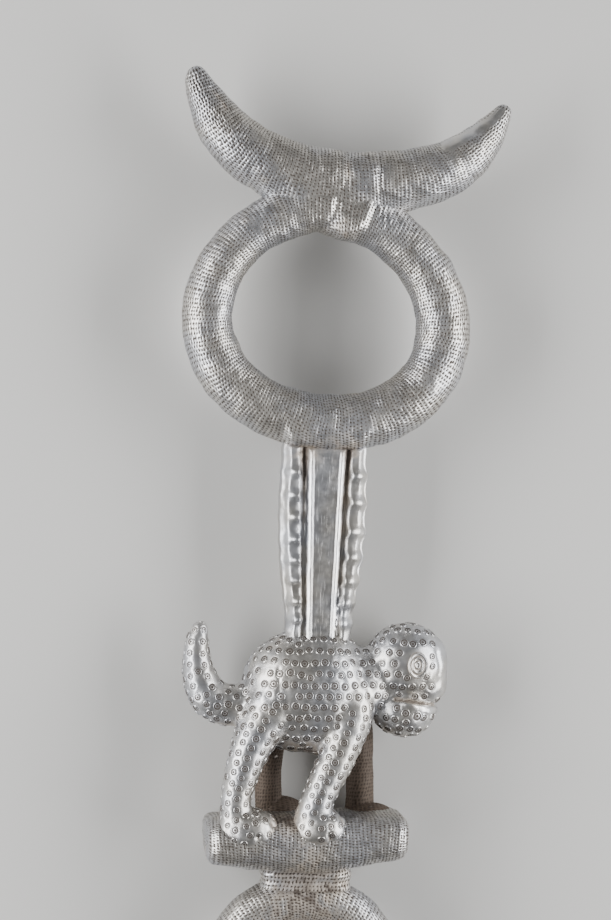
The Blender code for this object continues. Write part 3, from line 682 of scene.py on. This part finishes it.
# Hind leg, then front leg
nearLegs = [
    [(-13, 48, 3.5, 14.5), (-18.5, 41, 6.5, 11.5), (-24.7, 31.3, 9.5, 8.9),
     (-28.9, 19, 11.5, 7.3), (-31.2, 9, 12.3, 6.4), (-31.5, -3, 12, 6.6)],
    [(14, 50, 4, 12.5), (15.3, 42, 7.5, 10), (12.1, 30.2, 10.5, 8.2),
     (7.7, 19.4, 12, 7.4), (3, 8.7, 12.8, 6.9), (-0.8, -3, 12.5, 6.8)],
]
farLegs = [
    [(-13, 44, -7, 10), (-15.1, 31.1, -9.5, 6.8), (-15.8, 18, -10.5, 5.6),
     (-15.4, 4, -11, 5.7), (-15, -5, -11, 6.2)],
    [(15, 46, -6, 10), (21.3, 32, -9.5, 6.8), (23, 18.6, -10.5, 5.9),
     (23.6, 5, -11, 6.1), (24, -5, -11, 6.6)],
]
nearPaws = [((-25.9, -5.7, 12.5), (13.0, 9.0, 9.4)), ((4.1, -4.6, 13.0), (12.0, 8.6, 9.4))]
farPaws = [((-9.5, -1.0, -11.0), (10.0, 5.8, 7.8)), ((27.0, -1.5, -8.0), (11.0, 5.0, 10.0))]
tailLine = [(-48.2, 75.4, 0, 3.7), (-49.2, 69.2, 0, 5.0), (-48.8, 62.1, 0, 5.9), (-47.0, 54.4, 0, 7.3),
            (-43.2, 47.8, 0, 8.4), (-37.2, 44.6, 0, 8.7), (-29.5, 44.6, 0, 8.9), (-21.0, 46.5, 0, 9.5)]
trunk = [((39.6, 63.7, 0.0), (17.7, 17.0, 15.0)), ((-4.6, 50.8, 0.0), (25.4, 25.6, 18.8)),
         ((3.2, 51.2, 0.0), (22.3, 26.6, 19.0)), ((22.0, 55.0, 0.0), (12.0, 15.0, 12.5)),
         ((47.2, 56.0, 0.0), (10.2, 10.0, 10.6)), ((39.3, 43.9, 0.0), (13.6, 11.2, 12.4)),
         ((45.0, 46.2, 0.0), (8.6, 4.6, 9.4))]

# Carved lines, from the middle of the bar
browGroove = [(50.9, 80.9), (52.1, 76.0), (52.2, 71.5)]
mouthLine = [(33.7, 60.8), (42.0, 60.0), (50.3, 58.5), (54.5, 57.8)]
lipLine = [(33.7, 60.8), (38.0, 58.0), (42.4, 56.1), (46.6, 55.0), (51.3, 53.9)]
lipMarks = [(34.6, 57.1), (38.2, 55.1), (43.3, 54.0), (46.3, 53.3)]
flankSeam = [(-16.1, 73.0), (-15.6, 61.1)]
toeGrooves = [[(-16.5, 9.0), (-14.5, 6.0), (-14.0, 2.0)], [(12.0, 12.5), (13.8, 9.5), (14.0, 5.0)],
              [(-22.5, 4.0), (-21.5, -1.5)], [(7.0, 6.0), (8.0, 0.5)]]

def addForm(shape, centre, radii, segments):
    place = Matrix.Translation((centre[0], centre[1] + barTop, centre[2]))
    bmesh.ops.create_uvsphere(shape, u_segments=segments, v_segments=segments // 2, radius=1.0,
                              matrix=place @ Matrix.Diagonal((*radii, 1.0)))

def softAnimal():
    # Overlapping balls, remeshed into one skin and smoothed.
    shape = bmesh.new()
    for centre, radii in trunk + nearPaws:
        addForm(shape, centre, radii, 64)
    for stations in [*nearLegs, tailLine]:
        for x, y, z, radius in evenLine(smoothLine(stations, 80), 34):
            addForm(shape, (x, y, z), (radius,) * 3, 28)
    thing = newThing("soft animal", bpy.data.meshes.new("soft animal"))
    shape.to_mesh(thing.data)
    shape.free()
    remesh = thing.modifiers.new("one skin", "REMESH")
    remesh.mode, remesh.voxel_size = "VOXEL", animal["voxel"]
    smooth = thing.modifiers.new("softened", "SMOOTH")
    smooth.factor, smooth.iterations = 0.5, animal["smoothing"]
    mesh = bake(thing).data
    points, corners = pointsOf(mesh), np.zeros(len(mesh.loops), np.int32)
    mesh.loops.foreach_get("vertex_index", corners)
    bpy.data.objects.remove(thing)
    bpy.data.meshes.remove(mesh)
    return points, corners.reshape(-1, 4)

def skinNormals(points, quads):
    a, b = points[quads[:, 2]] - points[quads[:, 0]], points[quads[:, 3]] - points[quads[:, 1]]
    flat = np.cross(a, b)
    normals = np.zeros_like(points)
    for k in range(4):
        np.add.at(normals, quads[:, k], flat)
    return unit(normals)

def lipShare(points):
    # How far each point is inside the smooth lower lip, between the mouth and the line under it.
    x, y = points[..., 0], points[..., 1]
    upper, lower = (np.interp(x, *np.array(line).T) for line in (mouthLine, lipLine))
    return smoothStep(np.minimum(upper - y, y - lower), -0.2, 0.9) * (x > lipLine[0][0])

def carvedRelief(points):
    # Carved lines of the head, the flank and the toes.
    x, y, deep = points[:, 0], points[:, 1], np.abs(points[:, 2])
    head = smoothStep(x, 24, 28)
    front = smoothStep(points[:, 2], 6, 12)
    relief = 0.12 * softNoise(points, 12, 71) + 0.10 * softNoise(points, 5, 72)
    relief -= 0.35 * bell(lineDistance(points, browGroove), 0.7) * head * smoothStep(deep, 1.5, 6.0)
    relief += 0.2 * smoothStep(x, 51.5, 53.5) * smoothStep(y, 61, 64) * head
    relief -= 1.9 * bell(lineDistance(points, mouthLine), 0.75) * head
    relief += 0.6 * lipShare(points) * head
    relief -= 0.35 * bell(lineDistance(points, flankSeam), 0.6) * front
    for line in toeGrooves:
        relief -= 0.9 * bell(lineDistance(points, line), 0.9) * front
    return relief

def farLegShell():
    # The legs and paws behind, punched with dots on the sides that face the other legs, where they are also
    # painted dark with shade and brown dirt.
    grids = []
    for stations in farLegs:
        line = smoothLine(stations, 60)
        line[:, 1] += barTop
        line = evenLine(line, 3 * round(lineLength(line) / punch["along"]))
        grids.append(tubeGrid(line, 3 * animal["legAround"], False))
    for centre, radii in farPaws:
        polar = middles(3 * round(math.pi * radii[0] / punch["along"] * 0.8))[:, None] * math.pi
        angle = middles(3 * animal["pawAround"]) * fullTurn
        ball = [np.cos(polar) + 0 * angle, np.sin(polar) * np.sin(angle), np.sin(polar) * np.cos(angle)]
        grids.append(np.stack(ball, -1) * radii + centre + np.array([0, barTop, 0]))
    shells, normals = [], []
    for number, grid in enumerate(grids):
        seed = 80 + 5 * number
        relief = handMade(grid, seed) * 0.7
        outer = smoothStep(-grid[..., 2], 13.0, 14.5) * (grid[..., 1] > barTop + 2)
        marks = surfaceMarks(grid, relief, 0.9 * (1.0 - outer), seed + 2)
        # Painted shade with brown dirt: these sides are made dark brown, as if in the shadow of the near legs
        # and body.
        brownAndShade = (2.2 + 0.7 * softNoise(grid, 4, seed + 3)) * (1 - outer)
        marks["grime"] = np.clip(np.maximum(marks["grime"], brownAndShade), 0, 2.6)
        shells.append(punchedShell(grid, False, relief, marks, seed + 1))
        normals.append(np.concatenate([gridNormals(grid, False).reshape(-1, 3), np.zeros((2, 3))]))
    return joined(shells), np.concatenate(normals)

# Ring marks on the animal, with the grids of the body and of the head: rows, columns, first place, step,
# shift of each second row, looseness, spacing and size

ringMark = {"radius": 1.72, "rim": 0.28, "groove": 0.14, "segments": 12, "spacing": 3.85, "seed": 8,
            "eye": (41.9, 75.7), "eyeReach": 6.8, "dip": 0.42}
markGrids = [(14, 24, (-30.0, 30.0), (4.15, 4.55), 2.0, 0.5, 3.55, 1.0),
             (9, 9, (25.0, 47.0), (4.0, 4.3), 1.9, 0.4, 3.5, 0.9)]

def markTree():
    tree, given, result = newTree(
        "GeometryNodeTree", "ring marks",
        {"Geometry": "Geometry", "Mark": "Object", "Size": 1.0, "Unevenness": 0.1, "Seed": 1,
         "Material": "Material"}, {"Geometry": "Geometry"})
    times, plus, timesPlus = shortMaths(tree)
    out, size = readMark(tree, "out", "FLOAT_VECTOR"), readMark(tree, "size")
    turn = addNode(tree, "FunctionNodeAlignRotationToVector", {"Vector": out}, axis="Z")
    chance = addNode(tree, "FunctionNodeRandomValue", {"Seed": given["Seed"]}, data_type="FLOAT").outputs[1]
    uneven = timesPlus(plus(chance, -0.5), given["Unevenness"], 1.0)
    shape = addNode(tree, "GeometryNodeObjectInfo", {"Object": given["Mark"]})
    placed = addNode(tree, "GeometryNodeInstanceOnPoints",
                     {"Points": given["Geometry"], "Instance": shape.outputs["Geometry"],
                      "Rotation": turn.outputs[0], "Scale": times(times(size, uneven), given["Size"])})
    return dressed(tree, placed.outputs[0], given["Material"], result)

def markShape():
    # One mark: a skirt that sinks in the skin, a thin rim, a groove inside it and a dot in its middle; the
    # groove and the dot carry painted shade.
    r, rim, groove = ringMark["radius"], ringMark["rim"], ringMark["groove"]
    profile = [(r * 1.10, -0.45, 0.0), (r * 0.90, rim, 0.0), (r * 0.68, -groove, 0.8),
               (r * 0.42, 0.08, 0.0), (r * 0.14, -0.02, 0.8)]
    angle = np.arange(ringMark["segments"]) / ringMark["segments"] * fullTurn
    radius, height, shadeInMark = (np.array(column)[:, None] for column in zip(*profile))
    grid = np.stack([radius * np.cos(angle), radius * np.sin(angle), height + 0 * angle], -1)
    points, faces, marks = gridShell(grid, False, {"dot": shadeInMark})
    points[-1, 2] = -0.06
    return toBody("mark shape", (points, faces, marks), smoothSheet)

def bareSpot(point):
    # Places without a mark: the bright nose, the lip, the eye, and where other bodies join.
    x, y, z = point
    flat = np.array(point)
    onNose = x > 49.8 and y > 60.5
    onLip = x > 26 and abs(z) > 2 and (lipShare(flat) > 0.1 or lineDistance(flat, mouthLine) < 2.0)
    byEye = abs(z) > 4 and math.dist((x, y), ringMark["eye"]) < ringMark["eyeReach"]
    atNeck = y > neckFoot - 1.5 and abs(x - neck["offset"]) < 13.5 and abs(z) < 8.5
    onBar = abs(x - bar["offset"]) < 43 and abs(z) < 16.5 and y < barTop + 0.04 * x + 0.2
    return onNose or onLip or byEye or atNeck or onBar

def placeMarks(surface, points, normals):
    # Rows on the flanks and columns down the legs and tail first, then the rest as it fits.
    draw = np.random.default_rng(ringMark["seed"])
    spots, places = [], np.full((len(points), 3), 1e9)

    def put(point, out, spacing, size):
        apart = np.linalg.norm(places[:len(spots) + 1] - np.array(point), axis=1).min()
        if apart >= spacing and not bareSpot(point):
            places[len(spots)] = point
            spots.append((point, out, size))

    def cast(x, y, way, spacing, size=1.0):
        point, out, index, far = surface.ray_cast(Vector((x, y, 60.0 * way)), Vector((0, 0, -way)))
        if point is not None and out.z * way > 0.2 and point.z * way > -1.0:
            put(point, out, spacing, size)

    for way, legs in ((1, nearLegs), (-1, farLegs)):
        for x, y in lipMarks:
            cast(x, y, way, 3.0, 1.1)
        for stations in legs:
            line = smoothLine(stations, 60)
            line = evenLine(line, round(lineLength(line) / 4.1))[2:]
            for x, y, z, radius in line:
                for aside in (-0.62, 0.0, 0.62):
                    jitter = draw.uniform(-0.35, 0.35, 2)
                    shift = 2.0 if aside == 0.0 else 0.0
                    cast(x + aside * radius * 0.95 + jitter[0], y + barTop + shift + jitter[1], way, 3.0,
                         0.92 if radius > 7 else 0.84)
        line = smoothLine(tailLine, 60)
        for x, y, z, radius in evenLine(line, round(lineLength(line) / 4.2)):
            for aside in (-0.6, 0.45):
                jitter = draw.uniform(-0.3, 0.3, 2)
                cast(x + aside * radius, y + barTop + jitter[1], way, 3.0, 0.7 + 0.035 * radius)
        for rows, columns, first, step, shift, loose, spacing, size in markGrids:
            for row, column in itertools.product(range(rows), range(columns)):
                jitter = draw.uniform(-loose, loose, 2)
                cast(first[0] + step[0] * column + shift * (row % 2) + jitter[0],
                     first[1] + step[1] * row + jitter[1], way, spacing, size)
    for index in draw.permutation(len(points))[:24000]:
        put(Vector(points[index]), Vector(normals[index]), ringMark["spacing"], 0.9)
    return spots

def dipUnder(points, spots):
    # How far the skin dips under each ring mark, so that its flat stays open.
    finder = KDTree(len(points))
    for index, point in enumerate(points):
        finder.insert(point, index)
    finder.balance()
    dip = np.zeros(len(points))
    for spot, out, size in spots:
        reach = ringMark["radius"] * 0.95 * size
        for point, index, far in finder.find_range(spot, reach):
            dip[index] = max(dip[index], ringMark["dip"] * (1 - (far / reach) ** 4))
    return dip

def makeMarks(spots):
    mesh = bpy.data.meshes.new("ring_marks")
    mesh.from_pydata([spot * mm for spot, out, size in spots], [], [])
    mesh.attributes.new("out", "FLOAT_VECTOR", "POINT").data.foreach_set(
        "vector", np.array([tuple(out) for spot, out, size in spots], np.float32).ravel())
    setMark(mesh, "size", np.array([size for spot, out, size in spots]))
    thing, shape = newThing("ring_marks", mesh), markShape()
    useTree(thing, markTree(), Mark=shape, Size=1.0, Unevenness=0.22, Seed=ringMark["seed"],
            Material=smoothSheet)
    bake(thing)
    bpy.data.objects.remove(shape)
    places = pointsOf(thing.data) / mm
    setMark(thing.data, "grime", stainedness(places, 73))
    setMark(thing.data, "worn", np.full(len(places), 0.8))
    thing.data.shade_smooth()
    layDown(thing)

def makeAnimal():
    # The skin, the far legs and the ring marks on both; gives back the surface for the eyes.
    points, quads = softAnimal()
    relief = carvedRelief(points)
    points = points + skinNormals(points, quads) * relief[:, None]
    normals = skinNormals(points, quads)
    (farPoints, farFaces, farMarks), farNormals = farLegShell()
    polygons = quads.tolist()
    for faces in farFaces:
        polygons += (faces + len(points)).tolist()
    surface = BVHTree.FromPolygons(np.concatenate([points, farPoints]).tolist(), polygons)
    spots = placeMarks(surface, points, normals)
    dip = dipUnder(points, spots)
    # Painted shade: the carved grooves, the mouth among them, are darkened, and so are the faces turned down
    # the staff low on the animal.
    hollowShade = smoothStep(-relief, 0.3, 1.4)
    under = smoothStep(-normals[:, 1], 0.35, 0.95) * smoothStep(60 - points[:, 1], 0, 20)
    marks = {"grime": np.clip(stainedness(points, 73) + hollowShade * 0.9 + 0.45 * under, 0, 1),
             "worn": np.maximum(smoothStep(relief, 0.3, 0.8), 0.8 * lipShare(points)), "dot": 0 * dip}
    layDown(toBody("animal", (points - normals * dip[:, None], [quads], marks), smoothSheet))
    farPoints = farPoints - farNormals * dipUnder(farPoints, spots)[:, None]
    punchedBody("far_legs", (farPoints, farFaces, farMarks), 8)
    makeMarks(spots)
    return surface

# Eyes: nested upright ovals laid on the skin, each rim a place from the middle, a rise and a width

eye = {"wide": 4.7, "tall": 5.9, "drift": (0.5, -0.4), "rings": 28, "around": 48,
       "rims": [(0.84, 0.55, 0.085), (0.52, 0.5, 0.08), (0.20, 0.45, 0.07)]}

def makeEyes(surface):
    shares = 1 - np.arange(eye["rings"]) / eye["rings"]
    heights = -0.25 + 0.33 * smoothStep(1 - shares, 0.0, 0.1)
    heights += sum(rise * bell(shares - place, width) for place, rise, width in eye["rims"])
    # Painted shade: the groove beside each rim is darkened.
    groove = sum(bell(shares - place - 0.12, 0.06) for place, rise, width in eye["rims"])
    grime = np.clip(0.7 * groove + 0.1, 0, 1)[:, None]
    shells = []
    for way in (1, -1):
        start = Vector((*ringMark["eye"], 60.0 * way))
        middle, out, index, far = surface.ray_cast(start, Vector((0, 0, -way)))
        across = Vector((0, 1, 0)).cross(out).normalized()
        lengthwise = out.cross(across)
        grid = np.empty((eye["rings"], eye["around"], 3))
        for i, j in np.ndindex(grid.shape[:2]):
            angle, share = j / eye["around"] * fullTurn, float(shares[i])
            spot = (middle + across * (share * (eye["wide"] * math.cos(angle) + eye["drift"][0]))
                    + lengthwise * (share * (eye["tall"] * math.sin(angle) + eye["drift"][1])))
            grid[i, j] = (surface.ray_cast(spot + out * 6, -out)[0] or spot) + out * float(heights[i])
        shells.append(gridShell(grid, False, {"grime": grime, "worn": 0.6 + 0 * grime, "dot": 0.3 * grime}))
    layDown(toBody("eyes", joined(shells), smoothSheet))

# Materials

# The dirt colours also paint shade: the deep dirt colour is the dark brown of deep dirt and of painted shade,
# and the pit colour darkens pits and grooves with painted shade and dirt.
finishAndShade = {"cool": (0.60, 0.61, 0.64, 1), "warm": (0.65, 0.625, 0.585, 1), "dirtAndShade": (0.40, 0.29, 0.18, 1),
          "deepDirtAndShade": (0.075, 0.047, 0.027, 1), "pitDirtAndShade": (0.05, 0.036, 0.027, 1), "roughness": 0.36}

def finishGroup():
    tree, given, result = newTree(
        "ShaderNodeTree", "sheet finish", {"Dot": 0.0, "Grime": 0.0, "Worn": 0.0, "Scratched": 0.0},
        {"Color": "Color", "Metallic": "Float", "Roughness": "Float", "Height": "Float"})
    times, plus, timesPlus = shortMaths(tree)
    place = addNode(tree, "ShaderNodeTexCoord").outputs["Object"]

    def noise(scale, detail=3.0, rough=0.6):
        return addNode(tree, "ShaderNodeTexNoise",
                       {"Vector": place, "Scale": scale, "Detail": detail, "Roughness": rough}).outputs["Fac"]

    def mix(factor, first, second, blend="MIX"):
        return addNode(tree, "ShaderNodeMix", {0: factor, 6: first, 7: second},
                       data_type="RGBA", blend_type=blend).outputs[2]

    broad, middle, fine = noise(45.0), noise(260.0), noise(1500.0, 2.0)
    scratchPlace = addNode(tree, "ShaderNodeMapping", {"Vector": place, "Rotation": (0.0, 0.0, 0.5),
                                                       "Scale": (1.0, 0.08, 1.0)}).outputs[0]
    scratch = addNode(tree, "ShaderNodeTexNoise", {"Vector": scratchPlace, "Scale": 1700.0,
                                                   "Detail": 2.0}).outputs["Fac"]
    scratch = times(fade(tree, scratch, 0.56, 0.72), given["Scratched"])
    # The grime and shade amount: real stains and dirt, with painted shade in hollows, under the animal and on
    # the far legs.
    dirtAndShade = given["Grime"]
    for grain in (middle, fine):
        dirtAndShade = plus(dirtAndShade, timesPlus(grain, 0.4, -0.2))
    dirtAndShade = fade(tree, dirtAndShade, 0.14, 1.2)
    metal = mix(fade(tree, broad, 0.35, 0.65), finishAndShade["cool"], finishAndShade["warm"])
    shade = plus(timesPlus(middle, 0.40, 0.76), times(given["Worn"], 0.12))
    shadeColour = addNode(tree, "ShaderNodeCombineXYZ", {0: shade, 1: shade, 2: shade}).outputs[0]
    metal = mix(1.0, metal, shadeColour, "MULTIPLY")
    # Dirt and painted shade: brown from light to dark as the amount grows, the dark end standing for shadow.
    brownAndShade = mix(fade(tree, dirtAndShade, 0.40, 0.85), finishAndShade["dirtAndShade"], finishAndShade["deepDirtAndShade"])
    # Painted shade with dirt: the punched pits and the grooves of the ring marks and eyes are darkened.
    pit = fade(tree, given["Dot"], 0.05, 0.45, 0.0, 0.95)
    colour = mix(pit, mix(times(dirtAndShade, 0.95), metal, brownAndShade), finishAndShade["pitDirtAndShade"])
    metallic = times(timesPlus(dirtAndShade, -0.75, 1.0), timesPlus(pit, -0.7, 1.0))
    rough = timesPlus(middle, 0.26, finishAndShade["roughness"] - 0.10)
    for cause, change in ((dirtAndShade, 0.30), (pit, 0.25), (given["Worn"], -0.06), (scratch, 0.15)):
        rough = timesPlus(cause, change, rough)
    height = timesPlus(scratch, -0.3, timesPlus(middle, 0.6, times(fine, 0.4)))
    for index, value in enumerate((colour, metallic, rough, height)):
        tree.links.new(value, result.inputs[index])
    return tree

def sheetMaterial(name, group, relief):
    material = bpy.data.materials.new(name)
    material.use_nodes = True
    tree = material.node_tree
    shader = tree.nodes["Principled BSDF"]
    look = addNode(tree, "ShaderNodeGroup", node_tree=group)
    for mark in ("Dot", "Grime", "Worn", "Scratched"):
        source = addNode(tree, "ShaderNodeAttribute", attribute_name=mark.lower())
        tree.links.new(source.outputs["Fac"], look.inputs[mark])
    bump = addNode(tree, "ShaderNodeBump", {"Strength": relief, "Distance": 0.0002,
                                            "Height": look.outputs["Height"]}).outputs[0]
    for label, source in (("Base Color", look.outputs["Color"]), ("Metallic", look.outputs["Metallic"]),
                          ("Roughness", look.outputs["Roughness"]), ("Normal", bump)):
        tree.links.new(source, shader.inputs[label])
    return material

# Stage, light and camera

view = {"distance": 910.0, "pixel": 0.42, "lean": 2.16, "yaw": 7.0, "target": (-6.35, 159.1, 0.0),
        "height": 920}
studio = {"world": 0.17, "floor": (0.64, 0.635, 0.62), "power": 14.5, "distance": 900.0,
          "low": 29.0, "breadth": 360.0, "length": 1100.0}

def makeStage():
    mesh = bpy.data.meshes.new("floor")
    mesh.from_pydata([(-4, -4, -0.0002), (4, -4, -0.0002), (4, 4, -0.0002), (-4, 4, -0.0002)], [],
                     [(0, 1, 2, 3)])
    material = bpy.data.materials.new("pale floor")
    material.use_nodes = True
    shader = material.node_tree.nodes["Principled BSDF"]
    shader.inputs["Base Color"].default_value = (*studio["floor"], 1.0)
    shader.inputs["Roughness"].default_value = 0.8
    mesh.materials.append(material)
    newThing("floor", mesh)
    world = bpy.data.worlds.new("studio")
    world.use_nodes = True
    world.node_tree.nodes["Background"].inputs["Color"].default_value = (studio["world"],) * 3 + (1.0,)
    bpy.context.scene.world = world

def makeLights():
    middle = placeStaff @ (Vector(view["target"]) * mm)
    for name, way, share in (("left soft box", -1, 1.0), ("right soft box", 1, 0.9)):
        data = bpy.data.lights.new(name, "AREA")
        data.shape, data.energy = "RECTANGLE", studio["power"] * share
        data.size, data.size_y = studio["breadth"] * mm, studio["length"] * mm
        newThing(name, data).matrix_world = (
            Matrix.Translation(middle) @ Matrix.Rotation(way * math.radians(90 - studio["low"]), 4, "Y")
            @ Matrix.Translation((0.0, 0.0, studio["distance"] * mm)))

def makeCamera():
    data = bpy.data.cameras.new("camera")
    data.sensor_width = 36.0
    data.lens = data.sensor_width * view["distance"] / (view["height"] * view["pixel"])
    camera = newThing("camera", data)
    camera.matrix_world = (placeStaff @ Matrix.Translation(Vector(view["target"]) * mm)
                           @ Matrix.Rotation(math.radians(-view["yaw"]), 4, "Y")
                           @ Matrix.Rotation(math.radians(view["lean"]), 4, "Z")
                           @ Matrix.Translation((0.0, 0.0, view["distance"] * mm)))
    bpy.context.scene.camera = camera

# Where the frame has the staff: its foot's mount gives the place and the slight tilt

footMount = next(mount for mount in frame["record"]["mounts"] if mount["name"] == "foot_end")
tilt = math.asin(-footMount["axis"][2])
placeStaff = (Matrix.Translation(footMount["pos_m"]) @ Matrix.Rotation(tilt, 4, "X")
              @ Matrix.Translation((0.0, -footY * mm, 0.0)))

makeCamera()
makeStage()
makeLights()
finishAndShadeNodes = finishGroup()
punchedSheet = sheetMaterial("punched sheet", finishAndShadeNodes, 0.3)
smoothSheet = sheetMaterial("smooth sheet", finishAndShadeNodes, 0.4)
punchNodes = punchTree()
print("camera, light and materials ready")

makeRing()
makeCrescent()
makeNeck()
makeEyes(makeAnimal())
makeBar()
makeLowerRing()
makeShaft()
print("staff made")
